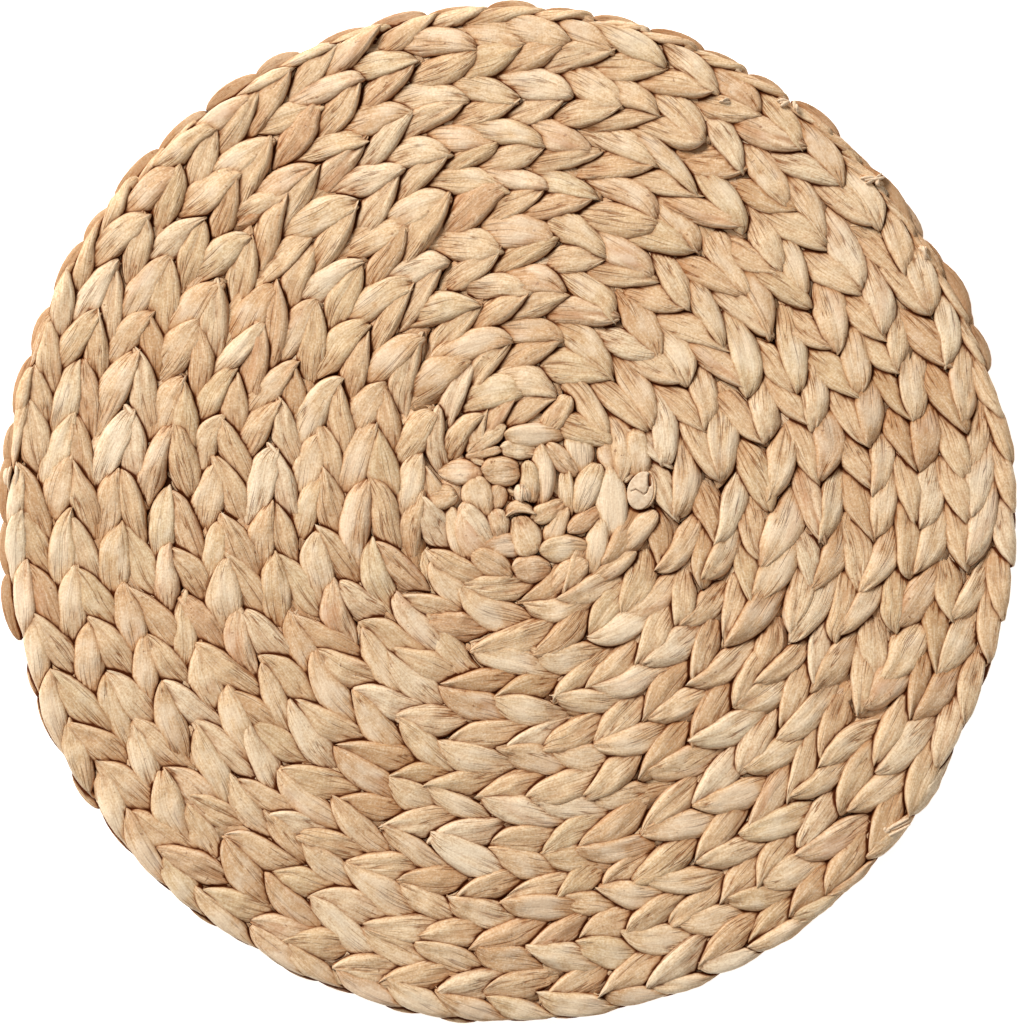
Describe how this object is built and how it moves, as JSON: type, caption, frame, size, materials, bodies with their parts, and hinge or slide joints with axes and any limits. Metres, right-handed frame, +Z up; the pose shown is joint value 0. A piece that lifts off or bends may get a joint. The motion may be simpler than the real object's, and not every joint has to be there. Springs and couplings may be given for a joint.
{
  "type": "round plaited placemat",
  "caption": "Flat round placemat, one thick plait of dried flat plant stems coiled into a disc, with a puffy V-shaped relief and a scalloped rim.",
  "frame": {"origin": "under the middle of the mat's outline, on the surface that it lies on", "axes": "+Z up through the mat; the coil's pole lies off the middle towards +X and +Y; the coil winds outwards clockwise seen from +Z"},
  "size_m": [0.3722, 0.373, 0.01],
  "materials": {
    "dried_stem": "dry, slightly silky plaited plant stem"
  },
  "bodies": {
    "root": {"plaited_mat": "dried_stem"}
  },
  "joints": []
}
